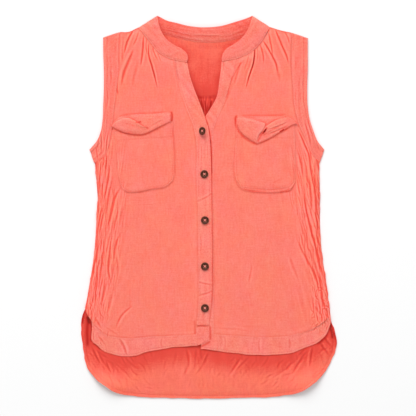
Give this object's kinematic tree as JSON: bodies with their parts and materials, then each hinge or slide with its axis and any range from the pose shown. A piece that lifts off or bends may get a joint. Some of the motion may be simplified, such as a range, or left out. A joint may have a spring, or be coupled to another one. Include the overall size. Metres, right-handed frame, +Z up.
{
  "type": "blouse",
  "caption": "Sleeveless blouse laid flat on its back, with a band collar over an open V neck, buttoned placket, two flapped chest pockets and a longer rounded back hem.",
  "frame": {"origin": "middle of the underside, on the surface that the blouse lies on", "axes": "+Y towards the neck, +X towards the wearer's left side, +Z up from the surface, out of the blouse's front"},
  "size_m": [0.4594, 0.6888, 0.0163],
  "materials": {
    "cloth": "matt crinkled coral viscose",
    "bands": "matt coral viscose, folded double and topstitched",
    "buttons": "dark brown horn look, polished"
  },
  "bodies": {
    "root": {"back_panel": "cloth", "back_yoke": "cloth", "front_right": "cloth", "front_left": "cloth", "pocket_right": "cloth", "pocket_left": "cloth", "flap_right": "cloth", "flap_left": "cloth", "collar_band": "bands", "neck_band_right": "bands", "neck_band_left": "bands", "placket_right": "bands", "placket_left": "bands", "armhole_band_right": "bands", "armhole_band_left": "bands", "hem_band_right": "bands", "hem_band_left": "bands", "button_1": "buttons", "button_2": "buttons", "button_3": "buttons", "button_4": "buttons", "button_5": "buttons"}
  },
  "joints": []
}
